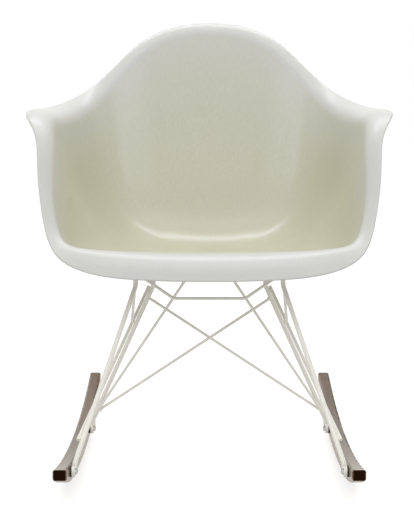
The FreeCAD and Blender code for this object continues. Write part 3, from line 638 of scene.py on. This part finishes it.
def stained_wood(sizes):
    """Wood bent to shape, stained dark and lacquered.

    It shows grain along the runner and a warm sheen, and is nearly black and dull where the ends
    are sawn across.
    """
    made, tree, surface = material("stained_wood")
    fine = stretched_noise(tree, GRAIN_PER_METRE, (1, GRAIN_STRETCH, 1), detail=5.0, roughness=0.6)
    broad = stretched_noise(tree, BROAD_GRAIN_PER_METRE, (1, BROAD_GRAIN_STRETCH, 1), detail=3.0)
    both = add(tree, "ShaderNodeMath", {0: fine, 1: broad}, operation="ADD").outputs["Value"]
    grain = add(tree, "ShaderNodeMath", {0: both, 1: 0.5}, operation="MULTIPLY").outputs["Value"]
    dark, light = GRAIN_NOISE
    values = {"Value": grain, "From Min": dark, "From Max": light}
    between = add(tree, "ShaderNodeMapRange", values).outputs["Result"]
    values = {
        0: between,
        MIX_FIRST: linear(sizes.grain_colour),
        MIX_SECOND: linear(sizes.colour),
    }
    long_side = add(tree, "ShaderNodeMix", values, data_type="RGBA").outputs[MIX_RESULT]

    facing = add(tree, "ShaderNodeNewGeometry").outputs["Normal"]
    split = add(tree, "ShaderNodeSeparateXYZ", {"Vector": facing})
    ahead = add(tree, "ShaderNodeMath", {0: split.outputs["Y"]}, operation="ABSOLUTE")
    start, full = SAWN_FACING
    values = {"Value": ahead.outputs["Value"], "From Min": start, "From Max": full}
    sawn = add(tree, "ShaderNodeMapRange", values).outputs["Result"]
    values = {0: sawn, MIX_FIRST: long_side, MIX_SECOND: linear(sizes.end_colour)}
    colour = add(tree, "ShaderNodeMix", values, data_type="RGBA").outputs[MIX_RESULT]
    bump = add(tree, "ShaderNodeBump", {"Height": grain, **GRAIN_BUMP})
    values = {"Value": sawn, "To Min": sizes.lacquer, "To Max": 0.0}
    shine = add(tree, "ShaderNodeMapRange", values).outputs["Result"]
    fill(
        tree,
        surface,
        {
            "Base Color": colour,
            "Roughness": sizes.roughness,
            "Specular IOR Level": shine,
            "Specular Tint": linear(sizes.shine_colour),
            "Sheen Weight": sizes.sheen,
            "Sheen Tint": linear(sizes.shine_colour),
            "Sheen Roughness": sizes.roughness,
            "Normal": bump.outputs["Normal"],
        },
    )
    return made


def plain(name, web_colour, roughness, metallic=0.0, texture=0.0):
    """An even finish, with a fine orange-peel bump of the given strength."""
    made, tree, surface = material(name)
    values = {"Base Color": linear(web_colour), "Roughness": roughness, "Metallic": metallic}
    if texture:
        peel = stretched_noise(tree, PEEL_PER_METRE, (1, 1, 1), detail=2.0)
        bumps = {"Height": peel, "Strength": texture, "Distance": PEEL_DEPTH}
        values["Normal"] = add(tree, "ShaderNodeBump", bumps).outputs["Normal"]
    fill(tree, surface, values)
    return made


class ARMCHAIR_OT_shell(Operator):
    """Builds the moulded shell with its half-round rim and gives it the reinforced plastic."""

    bl_idname = "armchair.shell"
    bl_label = "Build the shell"

    def execute(self, context):
        sizes = context.scene.armchair_shell
        made = build_shell(sizes)
        made.data.materials.append(plastic(sizes))
        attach(made, BODY)
        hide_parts("shell")
        return {"FINISHED"}


class ARMCHAIR_OT_runners(Operator):
    """Gives the runners their stained wood."""

    bl_idname = "armchair.runners"
    bl_label = "Finish the runners"

    def execute(self, context):
        finish_nodes(("runner_left", "runner_right"), stained_wood(context.scene.armchair_wood))
        return {"FINISHED"}


class ARMCHAIR_OT_base(Operator):
    """Adds the weld beads and gives them, the rods and the mount plates their powder coat."""

    bl_idname = "armchair.base"
    bl_label = "Finish the wire base"

    def execute(self, context):
        sizes = context.scene.armchair_base
        # A sprayed and baked coat: even and satin, with a faint orange peel
        paint = plain("powder_coat", sizes.colour, sizes.roughness, texture=sizes.texture)
        finish_nodes(RODS, paint)
        beads = build_beads(sizes)
        beads.data.materials.append(paint)
        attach(beads, BODY)
        return {"FINISHED"}


class ARMCHAIR_OT_fixings(Operator):
    """Gives the screws, inserts, washers and shock mounts their finishes."""

    bl_idname = "armchair.fixings"
    bl_label = "Finish the fixings"

    def execute(self, context):
        sizes = context.scene.armchair_fixings
        # Zinc on turned steel: bright, with a soft gloss
        steel = plain("plated_steel", sizes.steel, sizes.steel_roughness, metallic=1.0)
        finish_nodes(STEEL, steel)
        # Moulded rubber: nearly black and dull, with a grained skin
        rubber = plain(
            "black_rubber", sizes.rubber, sizes.rubber_roughness, texture=sizes.rubber_texture
        )
        finish_nodes(("shock_mounts",), rubber)
        # Punched from dark sheet: dull and even
        washer = plain("dark_washer", sizes.washer, sizes.washer_roughness)
        finish_nodes(("runner_washers",), washer)
        return {"FINISHED"}


def photo_camera(sizes):
    """The camera of the photograph. Its sensor's width spans the picture's longer side."""
    width, height = sizes.picture
    data = bpy.data.cameras.new("camera")
    data.sensor_width = SENSOR_WIDTH
    data.lens = sizes.focal_pixels / height * data.sensor_width
    data.shift_x = -(sizes.middle - width / 2) / height
    data.clip_end = VIEW_END
    made = bpy.data.objects.new("camera", data)
    made.location = (0, -sizes.distance, sizes.height)
    made.rotation_euler = (math.pi / 2 - sizes.tilt, 0, 0)
    bpy.context.scene.collection.objects.link(made)
    return made


def softbox(name, place, target, size, watts):
    """A rectangular light at place, turned towards target."""
    data = bpy.data.lights.new(name, "AREA")
    data.shape = "RECTANGLE"
    data.size, data.size_y = size
    data.energy = watts
    made = bpy.data.objects.new(name, data)
    made.location = place
    made.rotation_euler = (Vector(target) - Vector(place)).to_track_quat("-Z", "Y").to_euler()
    bpy.context.scene.collection.objects.link(made)
    return made


def seen_rays(tree):
    """1 for rays that show the background: the camera's own, and those off gloss or past glass."""
    path = add(tree, "ShaderNodeLightPath").outputs
    seen = path["Is Camera Ray"]
    for kind in ("Is Glossy Ray", "Is Transmission Ray"):
        either = add(tree, "ShaderNodeMath", {0: seen, 1: path[kind]}, operation="MAXIMUM")
        seen = either.outputs["Value"]
    return seen


def pale_floor(sizes):
    """A matt floor that keeps a faint shadow of the chair.

    It glows just enough to look as white as the background, lights the chair as the world does,
    and is clear from below.
    """
    made = bpy.data.materials.new("pale_floor")
    tree = empty_tree(made)
    paint = {"Color": (*[sizes.floor_paint] * 3, 1)}
    matt = add(tree, "ShaderNodeBsdfDiffuse", paint).outputs["BSDF"]
    glow = add(tree, "ShaderNodeEmission", {"Strength": sizes.floor_glow}).outputs["Emission"]
    shown = add(tree, "ShaderNodeAddShader", {0: matt, 1: glow}).outputs["Shader"]
    even = add(tree, "ShaderNodeEmission", {"Strength": sizes.world}).outputs["Emission"]
    values = {0: seen_rays(tree), 1: even, 2: shown}
    above = add(tree, "ShaderNodeMixShader", values).outputs["Shader"]
    clear = add(tree, "ShaderNodeBsdfTransparent").outputs["BSDF"]
    below = add(tree, "ShaderNodeNewGeometry").outputs["Backfacing"]
    mixed = add(tree, "ShaderNodeMixShader", {0: below, 1: above, 2: clear}).outputs["Shader"]
    add(tree, "ShaderNodeOutputMaterial", {"Surface": mixed})
    return made


def studio_world(sizes):
    """Even light from all round, stronger from behind and from above, and white where it shows."""
    made = bpy.data.worlds.new("studio")
    tree = empty_tree(made)
    way = add(tree, "ShaderNodeTexCoord").outputs["Generated"]
    parts = add(tree, "ShaderNodeSeparateXYZ", {"Vector": way}).outputs
    start, full = CEILING_RISE
    values = {"Value": parts["Z"], "From Min": start, "From Max": full}
    values |= {"To Min": 0.0, "To Max": sizes.ceiling}
    above = add(tree, "ShaderNodeMapRange", values).outputs["Result"]
    start, full = BACKDROP_RISE
    values = {"Value": parts["Y"], "From Min": start, "From Max": full}
    values |= {"To Min": sizes.world, "To Max": sizes.backdrop}
    behind = add(tree, "ShaderNodeMapRange", values).outputs["Result"]
    strength = add(tree, "ShaderNodeMath", {0: above, 1: behind}, operation="ADD").outputs["Value"]
    lit = add(tree, "ShaderNodeBackground", {"Color": WHITE, "Strength": strength})
    white = add(tree, "ShaderNodeBackground", {"Color": WHITE, "Strength": 1.0})
    values = {0: seen_rays(tree), 1: lit.outputs["Background"], 2: white.outputs["Background"]}
    mixed = add(tree, "ShaderNodeMixShader", values).outputs["Shader"]
    add(tree, "ShaderNodeOutputWorld", {"Surface": mixed})
    return made


class ARMCHAIR_OT_stage(Operator):
    """Sets up the camera of the photograph, the softboxes, the floor and the white background."""

    bl_idname = "armchair.stage"
    bl_label = "Set up the stage"

    def execute(self, context):
        scene = context.scene
        sizes = scene.armchair_stage
        scene.camera = photo_camera(sizes)
        for row in SOFTBOXES:
            softbox(*row)
        half = sizes.floor / 2
        outline = np.array([(-half, -half, 0), (half, -half, 0), (half, half, 0), (-half, half, 0)])
        floor = mesh_object("floor", outline, np.array([(0, 1, 2, 3)]))
        floor.data.materials.append(pale_floor(sizes))
        scene.world = studio_world(sizes)
        scene.view_settings.view_transform = "Standard"
        return {"FINISHED"}


class ARMCHAIR_PT_panel(Panel):
    """Lists the armchair's pieces and their sizes."""

    bl_idname = "ARMCHAIR_PT_panel"
    bl_label = "Rocking armchair"
    bl_space_type = "VIEW_3D"
    bl_region_type = "UI"
    bl_category = "Armchair"

    def draw(self, context):
        for operator, group in STEPS:
            box = self.layout.box()
            box.operator(operator.bl_idname)
            values = getattr(context.scene, group)
            for key in values.__annotations__:
                box.prop(values, key)


GROUPS = {
    "armchair_shell": ARMCHAIR_PG_shell,
    "armchair_wood": ARMCHAIR_PG_wood,
    "armchair_base": ARMCHAIR_PG_base,
    "armchair_fixings": ARMCHAIR_PG_fixings,
    "armchair_stage": ARMCHAIR_PG_stage,
}
STEPS = (
    (ARMCHAIR_OT_shell, "armchair_shell"),
    (ARMCHAIR_OT_runners, "armchair_wood"),
    (ARMCHAIR_OT_base, "armchair_base"),
    (ARMCHAIR_OT_fixings, "armchair_fixings"),
    (ARMCHAIR_OT_stage, "armchair_stage"),
)
CLASSES = (*GROUPS.values(), *(operator for operator, _ in STEPS), ARMCHAIR_PT_panel)


def register():
    for cls in CLASSES:
        bpy.utils.register_class(cls)
    for name, group in GROUPS.items():
        setattr(bpy.types.Scene, name, PointerProperty(type=group))


def unregister():
    for name in GROUPS:
        delattr(bpy.types.Scene, name)
    for cls in reversed(CLASSES):
        bpy.utils.unregister_class(cls)


def main():
    """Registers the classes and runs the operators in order."""
    register()
    for operator, _ in STEPS:
        module, action = operator.bl_idname.split(".")
        getattr(getattr(bpy.ops, module), action)()


if __name__ == "__main__":
    main()
